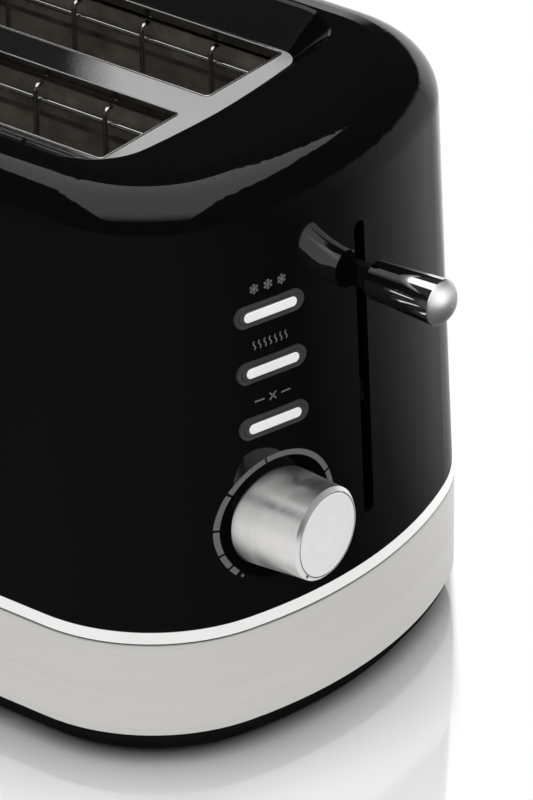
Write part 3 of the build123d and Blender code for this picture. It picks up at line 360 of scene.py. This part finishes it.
ROUND_BODY = (5, 5, 2600)
ALONG_X = (8, 2600, 2600)
ALONG_Y = (2600, 8, 2600)
AROUND_Y = (60, 3000, 60)
made = {
    "shell_black": gloss_black(),
    "pan_black": moulded("pan_black", (0.003, 0.003, 0.003), (0.006, 0.006, 0.006), 0.6, specular=0.2),
    "plate_steel": bright("plate_steel", (0.46, 0.46, 0.455), 0.03, edge=0.0006),
    "ring_chrome": bright("ring_chrome", (0.90, 0.90, 0.89), 0.16),
    "band_steel": brushed("band_steel", (0.57, 0.56, 0.54), (0.63, 0.62, 0.60), 0.42, ROUND_BODY, 0.000004),
    "feet_rubber": moulded("feet_rubber", (0.01, 0.01, 0.01), (0.02, 0.02, 0.02), 0.8),
    "zinc_screw": bright("zinc_screw", (0.55, 0.56, 0.58), 0.3, 300),
    "tray_steel": brushed("tray_steel", (0.42, 0.42, 0.43), (0.58, 0.58, 0.59), 0.35, ALONG_Y),
    "frame_steel": brushed("frame_steel", (0.36, 0.36, 0.36), (0.50, 0.50, 0.50), 0.4, ALONG_X),
    "reflector_steel": bright("reflector_steel", (0.5, 0.49, 0.47), 0.25),
    "mica": mica(),
    "ribbon": oxidised(),
    "guard_wire": bright("guard_wire", (0.75, 0.75, 0.74), 0.12, 300),
    "rod_steel": bright("rod_steel", (0.7, 0.7, 0.72), 0.1),
    "bush_brass": bright("bush_brass", (0.60, 0.42, 0.18), 0.3, 200),
    "spring_steel": bright("spring_steel", (0.5, 0.5, 0.52), 0.25, 200),
    "arm_steel": moulded("arm_steel", (0.004, 0.004, 0.004), (0.007, 0.007, 0.007), 0.35),
    "lever_chrome": domed_chrome(),
    "core_iron": moulded("core_iron", (0.10, 0.10, 0.105), (0.16, 0.16, 0.165), 0.45),
    "coil_copper": windings("coil_copper", (0.16, 0.05, 0.02), (0.45, 0.18, 0.08)),
    "contact_plastic": moulded("contact_plastic", (0.42, 0.40, 0.35), (0.52, 0.50, 0.44), 0.5),
    "button_grey": moulded("button_grey", (0.030, 0.030, 0.030), (0.042, 0.042, 0.042), 0.42),
    "bar_silver": moulded("bar_silver", (0.66, 0.66, 0.66), (0.72, 0.72, 0.72), 0.35, 2500, 0.00001),
    "knob_metal": brushed("knob_metal", (0.70, 0.69, 0.68), (0.78, 0.77, 0.755), 0.34, AROUND_Y, 0.000006),
    "disc_metal": brushed("disc_metal", (0.76, 0.76, 0.76), (0.82, 0.82, 0.82), 0.38, AROUND_Y, 0.000004),
    "board_green": solder_mask(),
    "board_black": moulded("board_black", (0.012, 0.012, 0.012), (0.022, 0.022, 0.022), 0.5),
    "standoff_steel": bright("standoff_steel", (0.6, 0.6, 0.6), 0.2),
}
print_grey = printed()


def dress(node, material):
    """Gives the whole of a CAD node one material."""
    mesh = nodes[node].data
    mesh.materials.clear()
    mesh.materials.append(material)
    for polygon in mesh.polygons:
        polygon.material_index = 0


for entry in frame["record"]["subparts"]:
    dress(entry["node"], made[entry["material_slot"]])


def add_mesh(name, vertices, faces, material, smooth=False):
    """Adds a new mesh object of one material to the scene."""
    mesh = bpy.data.meshes.new(name)
    mesh.from_pydata(vertices, [], faces)
    mesh.materials.append(material)
    if smooth:
        for polygon in mesh.polygons:
            polygon.use_smooth = True
    piece = bpy.data.objects.new(name, mesh)
    bpy.context.scene.collection.objects.link(piece)
    return piece


# ---------------------------------------------------------------- printed marks
shell_mesh = nodes["outer_shell"].data
shell_tree = BVHTree.FromPolygons([v.co for v in shell_mesh.vertices],
                                  [p.vertices[:] for p in shell_mesh.polygons])
PRINT_HEIGHT = 0.06 * MM
PRINT_DEPTH = 0.05 * MM


def on_shell(point, direction):
    """Where a ray meets the shell, and the surface's normal there."""
    place, normal, _, _ = shell_tree.ray_cast(point - direction * 0.05, direction)
    return place, normal


def stroke_rows(points, width, steps):
    """Left and right edges of a stroke of a given width along a flat line of points."""
    rows = []
    for i, (x, y) in enumerate(points):
        before = points[max(i - 1, 0)]
        after = points[min(i + 1, len(points) - 1)]
        dx, dy = after[0] - before[0], after[1] - before[1]
        length = sqrt(dx * dx + dy * dy) or 1
        nx, ny = -dy / length * width / 2, dx / length * width / 2
        rows.append([(x + nx * (1 - 2 * k / steps), y + ny * (1 - 2 * k / steps)) for k in range(steps + 1)])
    return rows


def printed_piece(name, strokes, to_space, direction, body="housing"):
    """Closed thin strips that follow the shell: each stroke is (points, width) in the print's plane."""
    vertices, faces = [], []
    for points, width in strokes:
        rows = stroke_rows(points, width, 2)
        across = len(rows[0])
        first = len(vertices)
        for sink in (PRINT_HEIGHT, -PRINT_DEPTH):
            for row in rows:
                for x, y in row:
                    place, normal = on_shell(to_space(x, y), direction)
                    vertices.append(place + normal * sink)
        layer = len(rows) * across
        for r in range(len(rows) - 1):
            for c in range(across - 1):
                a = first + r * across + c
                top = (a, a + 1, a + across + 1, a + across)
                faces.append(top)
                faces.append(tuple(layer + v for v in reversed(top)))
        for r in range(len(rows) - 1):
            for c, flip in ((0, False), (across - 1, True)):
                a = first + r * across + c
                side = (a, a + across, a + across + layer, a + layer)
                faces.append(tuple(reversed(side)) if flip else side)
        for c in range(across - 1):
            for r, flip in ((0, True), (len(rows) - 1, False)):
                a = first + r * across + c
                end = (a, a + 1, a + 1 + layer, a + layer)
                faces.append(tuple(reversed(end)) if flip else end)
    piece = add_mesh(name, vertices, faces, print_grey)
    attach(piece, body)
    return piece


def arc(cx, cy, radius, start, end, pieces=12):
    """Points along an arc; angles in degrees, clockwise from the top."""
    angles = [radians(start + (end - start) * i / pieces) for i in range(pieces + 1)]
    return [(cx + radius * sin(a), cy + radius * cos(a)) for a in angles]


def line(x0, y0, x1, y1, pieces=4):
    return [(x0 + (x1 - x0) * i / pieces, y0 + (y1 - y0) * i / pieces) for i in range(pieces + 1)]


def wave(x, y, height, swing, pieces=14):
    """An upright wavy line, as of rising heat."""
    shares = [i / pieces for i in range(pieces + 1)]
    return [(x + swing * sin(2 * pi * share), y + height * (share - 0.5)) for share in shares]


# Dial round the knob: short dashes that grow clockwise up to the darkest setting
knob_low, knob_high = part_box("knob_barrel")
knob_x = (knob_low.x + knob_high.x) / 2
knob_z = (knob_low.z + knob_high.z) / 2
DIAL_RADIUS = 21.2 * MM
DIAL_WIDTH = 1.8 * MM
DIAL_GAP = 2.2
DIAL_START = 221.0
dial_breaks = [225.6, 235.3, 250.3, 274.4, 307.7, 349.1, 426.4, 491.0]


def dial_place(x, y):
    return Vector((knob_x + x, knob_low.y, knob_z + y))


dial = [(line(-0.45 * MM + DIAL_RADIUS * sin(radians(DIAL_START)), DIAL_RADIUS * cos(radians(DIAL_START)),
              0.45 * MM + DIAL_RADIUS * sin(radians(DIAL_START)), DIAL_RADIUS * cos(radians(DIAL_START)), 2),
         0.9 * MM)]
for start, end in zip(dial_breaks, dial_breaks[1:]):
    pieces = max(4, int((end - start) / 3))
    dial.append((arc(0, 0, DIAL_RADIUS, start + DIAL_GAP / 2, end - DIAL_GAP / 2, pieces), DIAL_WIDTH))
printed_piece("dial_print", dial, dial_place, Vector((0, 1, 0)))


# Symbols over the buttons: snow crystal, rising heat, cross
def snow_crystal(size):
    strokes = []
    for k in range(3):
        a = radians(60 * k)
        strokes.append((line(-size * sin(a), -size * cos(a), size * sin(a), size * cos(a)), 0.38 * MM))
    for k in range(6):
        a = radians(60 * k)
        tip = Vector((sin(a), cos(a))) * size * 0.55
        for turn in (-50, 50):
            b = a + radians(turn)
            strokes.append((line(tip.x, tip.y, tip.x + sin(b) * size * 0.38, tip.y + cos(b) * size * 0.38, 2),
                            0.30 * MM))
    return strokes


def shifted(strokes, dx):
    return [([(x + dx, y) for x, y in points], width) for points, width in strokes]


def heat_waves(size, count, pitch):
    starts = [(k - (count - 1) / 2) * pitch for k in range(count)]
    return [(wave(x, 0, 1.7 * size, 0.22 * size), 0.42 * MM) for x in starts]


def cross(size):
    return [(line(-size, -size, size, size), 0.48 * MM), (line(-size, size, size, -size), 0.48 * MM)]


snow_row = [stroke for k in (-1, 0, 1) for stroke in shifted(snow_crystal(1.7 * MM), k * 5.2 * MM)]
heat_row = heat_waves(1.7 * MM, 7, 2.0 * MM)
stop_row = cross(1.25 * MM) + [(line(side * 3.2 * MM, 0, side * 6.8 * MM, 0), 0.5 * MM) for side in (-1, 1)]
SYMBOL_RISE = 8.4 * MM
for button, symbol in (("defrost_button", snow_row),
                       ("reheat_button", heat_row),
                       ("cancel_button", stop_row)):
    low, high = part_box(button + "_bar")
    centre = (low + high) / 2
    _, outward = on_shell(centre + Vector((0, -0.02, 0)), Vector((0, 1, 0)))
    joint = next(j for j in frame["joints"] if j["child"] == button)
    inward = Vector(joint["axis"])
    right = inward.cross(Vector((0, 0, 1))).normalized()
    up = right.cross(inward).normalized()
    middle = centre + up * SYMBOL_RISE

    def place(x, y, middle=middle, right=right, up=up):
        return middle + right * x + up * y

    printed_piece(button + "_symbol", symbol, place, inward)


# the slots' sizes in the CAD
SLOT_HALF_PITCH = 26 * MM
SLOT_HALF_WIDTH = 19 * MM
SLOT_HALF_LENGTH = 69 * MM
SLOT_CORNER = 1.5 * MM


def slot_lips():
    """Thin bright roll round the mouth of each slot."""
    plate_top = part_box("slot_plate")[1].z
    radius, sides = 0.32 * MM, 8
    core_x, core_y = SLOT_HALF_WIDTH - SLOT_CORNER, SLOT_HALF_LENGTH - SLOT_CORNER
    for name, middle_x in (("slot_lip_left", -SLOT_HALF_PITCH), ("slot_lip_right", SLOT_HALF_PITCH)):
        path = []
        for cx, cy, start in ((1, 1, 0), (-1, 1, 90), (-1, -1, 180), (1, -1, 270)):
            for k in range(7):
                angle = radians(start + 90 * k / 6)
                outward = Vector((cos(angle), sin(angle), 0))
                core = Vector((middle_x + cx * core_x, body_y + cy * core_y, plate_top))
                path.append((core + outward * SLOT_CORNER, outward))
        vertices, faces = [], []
        for point, outward in path:
            for k in range(sides):
                turn = 2 * pi * k / sides
                vertices.append(point + (outward * cos(turn) + Vector((0, 0, 1)) * sin(turn)) * radius)
        for r in range(len(path)):
            for k in range(sides):
                a, b = r * sides, ((r + 1) % len(path)) * sides
                faces.append((a + k, b + k, b + (k + 1) % sides, a + (k + 1) % sides))
        piece = add_mesh(name, vertices, faces, made["ring_chrome"], smooth=True)
        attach(piece, "housing")


slot_lips()


def pointer_dot():
    """Small raised dot on the knob's rim that points at the lowest setting."""
    angle = radians(DIAL_START + 3.6)
    reach, radius, sides = 14.35 * MM, 0.55 * MM, 20
    middle = Vector((knob_x + reach * sin(angle), knob_low.y, knob_z + reach * cos(angle)))
    vertices, faces = [], []
    for share, rise in ((1.0, -0.2), (1.0, 0.06), (0.75, 0.12), (0.4, 0.15)):
        for k in range(sides):
            turn = 2 * pi * k / sides
            reach_here = radius * share
            vertices.append(middle + Vector((reach_here * sin(turn), -rise * MM, reach_here * cos(turn))))
    for ring in range(3):
        for k in range(sides):
            a, b = ring * sides + k, ring * sides + (k + 1) % sides
            faces.append((a, a + sides, b + sides, b))
    faces.append(tuple(range(sides)))
    faces.append(tuple(3 * sides + k for k in reversed(range(sides))))
    piece = add_mesh("pointer_dot", vertices, faces, print_grey)
    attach(piece, "browning_knob")


pointer_dot()


# ---------------------------------------------------------------- lift spring
def stretching_spring():
    """A static copy of the lift spring's coils, standing in for the CAD node, which is hidden; the copy is
    attached to no body.
    """
    spring = bpy.data.objects.new("lift_spring_coils", nodes["lift_spring"].data.copy())
    bpy.context.scene.collection.objects.link(spring)
    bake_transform(spring)
    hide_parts("lift_spring")


stretching_spring()


# ---------------------------------------------------------------- studio
# level directions typed in from the camera's azimuth: away from the camera, and to its right
FAR = Vector((0.787, 0.617, 0))
SIDE = Vector((0.617, -0.787, 0))
BRIGHT_SIDE = (0.920, 0.392, 0)
# grey of the surroundings along the horizon, from the dark side round to the bright side
SURROUNDINGS = ((0.0, 0.09), (0.25, 0.06), (0.45, 0.03), (0.60, 0.09),
                (0.74, 0.26), (0.91, 0.48), (0.97, 0.95))


def surroundings(t, direction):
    """Grey that mirrors see in a direction from the object."""
    flat = t.vector("NORMALIZE", t.vector("MULTIPLY", direction, (1, 1, 0)))
    towards = t.vector("DOT_PRODUCT", flat, BRIGHT_SIDE)
    return t.ramp(t.math("ADD", t.math("MULTIPLY", towards, 0.5), 0.5), SURROUNDINGS)


def mixed(t, factor, first, second):
    """First colour at factor 0, second at 1."""
    made = t.node("ShaderNodeMix", data_type="RGBA")
    t.fill(made.inputs["Factor"], factor)
    t.fill(made.inputs["A"], first)
    t.fill(made.inputs["B"], second)
    return made.outputs["Result"]


def make_floor():
    """Wide glossy pale floor with a painted contact shadow near the object; past two lines it glows plain
    white as painted light, and to mirror rays it glows a painted reflection of grey surroundings.
    """
    s = Surface("floor_white", (0.80, 0.80, 0.80), roughness=0.06, IOR=3.4)
    s.roughen(s.noise(3, detail=2), 0.05, 0.07)
    out = s.tree.nodes["Material Output"]
    path = s.node("ShaderNodeLightPath")
    # painted contact shadow: the floor's base colour darkens with ambient occlusion within 35 mm of other
    # things
    contact_shadow_occlusion = s.node("ShaderNodeAmbientOcclusion", samples=12)
    contact_shadow_occlusion.inputs["Distance"].default_value = 0.035
    level = s.ranged(s.math("POWER", contact_shadow_occlusion.outputs["AO"], 0.7), 0.0, 0.79, 0.0, 1.0)
    s.link(level, s.shader.inputs["Base Color"])
    # the first line lies beyond the object; the second, beside it, fades out towards the camera. Past them
    # the floor glows plain white: painted light over its own shading and over the shadow beside the object
    along_far = s.vector("DOT_PRODUCT", s.place, tuple(FAR))
    along_side = s.vector("DOT_PRODUCT", s.place, tuple(SIDE))
    beyond = s.ranged(along_far, 0.0, 1.0, 0.16, 0.33)
    not_too_near = s.ranged(along_far, 0.0, 1.0, -0.60, -0.17)
    beside = s.math("MULTIPLY", s.ranged(along_side, 0.0, 1.0, 0.1262, 0.1282), not_too_near)
    # painted light: an even white glow in place of the lit floor past the lines
    white = s.node("ShaderNodeEmission")
    painted_white_glow = s.node("ShaderNodeMixShader")
    s.link(s.math("MAXIMUM", beyond, beside), painted_white_glow.inputs["Fac"])
    s.link(s.shader.outputs["BSDF"], painted_white_glow.inputs[1])
    s.link(white.outputs["Emission"], painted_white_glow.inputs[2])
    # painted reflection: to mirror rays the floor glows the grey of the surroundings instead of its own lit
    # surface
    painted_reflection = s.node("ShaderNodeEmission")
    s.link(surroundings(s, s.place), painted_reflection.inputs["Color"])
    both = s.node("ShaderNodeMixShader")
    s.link(path.outputs["Is Glossy Ray"], both.inputs["Fac"])
    s.link(painted_white_glow.outputs["Shader"], both.inputs[1])
    s.link(painted_reflection.outputs["Emission"], both.inputs[2])
    s.link(both.outputs["Shader"], out.inputs["Surface"])
    reach = 6.0
    corners = [(-reach, -reach, 0), (reach, -reach, 0), (reach, reach, 0), (-reach, reach, 0)]
    floor = add_mesh("floor", corners, [(0, 1, 2, 3)], s.material)
    return floor


def make_world():
    """White to the camera and to diffuse rays; to mirrors, dark with a pale horizon on one side."""
    world = bpy.data.worlds.new("world")
    bpy.context.scene.world = world
    world.use_nodes = True
    t = Tree(world.node_tree)
    direction = t.node("ShaderNodeTexCoord").outputs["Generated"]
    rise = t.node("ShaderNodeSeparateXYZ")
    t.link(direction, rise.inputs["Vector"])
    high = t.ramp(rise.outputs["Z"], ((0.17, 0.0), (0.25, 1.0)))
    seen = mixed(t, high, surroundings(t, direction), (0.025, 0.025, 0.025, 1))
    path = t.node("ShaderNodeLightPath")
    diffuse = mixed(t, path.outputs["Is Camera Ray"], (1.35, 1.35, 1.35, 1), (1, 1, 1, 1))
    t.link(mixed(t, path.outputs["Is Glossy Ray"], diffuse, seen), t.tree.nodes["Background"].inputs["Color"])


def receivers(name, members):
    """A collection that a light can be limited to."""
    group = bpy.data.collections.new(name)
    for member in members:
        group.objects.link(member)
    return group


def fade_edge(data, axis, stops):
    """Lets a softbox fall off along its width (X) or height (Y)."""
    data.use_nodes = True
    t = Tree(data.node_tree)
    across = t.node("ShaderNodeSeparateXYZ")
    t.link(t.node("ShaderNodeNewGeometry").outputs["Parametric"], across.inputs["Vector"])
    t.link(t.ramp(across.outputs[axis], stops), t.tree.nodes["Emission"].inputs["Color"])


def softbox(name, place, aim, width, height, radiance, group=None, turn=0.0, fade=None):
    """Rectangular light, seen in mirrors; a group limits what it lights; turned about its own axis."""
    data = bpy.data.lights.new(name, "AREA")
    data.shape = "RECTANGLE"
    data.size = width
    data.size_y = height
    data.energy = radiance * pi * width * height
    light = bpy.data.objects.new(name, data)
    bpy.context.scene.collection.objects.link(light)
    light.location = place
    light.rotation_mode = "QUATERNION"
    aimed = (Vector(aim) - Vector(place)).to_track_quat("-Z", "Y")
    light.rotation_quaternion = aimed @ Quaternion((0, 0, 1), radians(turn))
    light.visible_camera = False
    if fade:
        fade_edge(data, *fade)
    if group:
        light.light_linking.receiver_collection = group


floor = make_floor()
make_world()
METAL_NODES = ("base_band", "trim_ring", "knob_barrel", "knob_disc", "tray_handle")
metal = receivers("metal_parts", [nodes[n] for n in METAL_NODES])
metal_and_lever = receivers("metal_and_lever", [*metal.objects, nodes["lever_knob"]])
lever = receivers("lever", [nodes["lever_knob"]])
softbox("overhead", (-0.143, -0.150, 1.2), (-0.143, -0.150, 0), 1.42, 2.0, 1.1, turn=-51.9,
        fade=("Y", ((0.0, 0.0), (0.25, 1.0))))
# a lit wall low behind the object, for the plate and the floor: its foot and left edge mirror in the plate
WALL_AWAY = 30.0
WALL_FOOT = 0.186 + WALL_AWAY * tan(radians(26.35))
WALL_LOW_LEFT = FAR * WALL_AWAY - SIDE * 1.12 + Vector((0, 0, WALL_FOOT))
WALL_WIDTH, WALL_HEIGHT = 21.0, 6.4
wall_middle = WALL_LOW_LEFT + SIDE * WALL_WIDTH / 2 + Vector((0, 0, WALL_HEIGHT / 2))
softbox("far_wall", wall_middle, wall_middle - FAR, WALL_WIDTH, WALL_HEIGHT, 0.85,
        receivers("plate_and_floor", [nodes["slot_plate"], floor]), fade=("X", ((0.985, 1.0), (1.0, 0.0))))
softbox("metal_floor", (0, 0, 0.0006), (0, 0, 1), 4.0, 4.0, 0.85, metal)
softbox("metal_left", (-1.2, 0.3, 0.5), (0, 0, 0.1), 2.0, 1.0, 0.7, metal)
softbox("metal_front", (0.5, -1.3, 0.5), (0, 0, 0.1), 2.0, 1.0, 0.7, metal_and_lever)
softbox("lever_front", (-0.3, -1.2, 0.6), (0, 0, 0.15), 1.8, 1.4, 0.9, lever)
softbox("metal_right", (1.3, 0.3, 0.5), (0, 0, 0.1), 2.0, 1.0, 0.6, metal)
bpy.context.scene.view_settings.view_transform = "Standard"
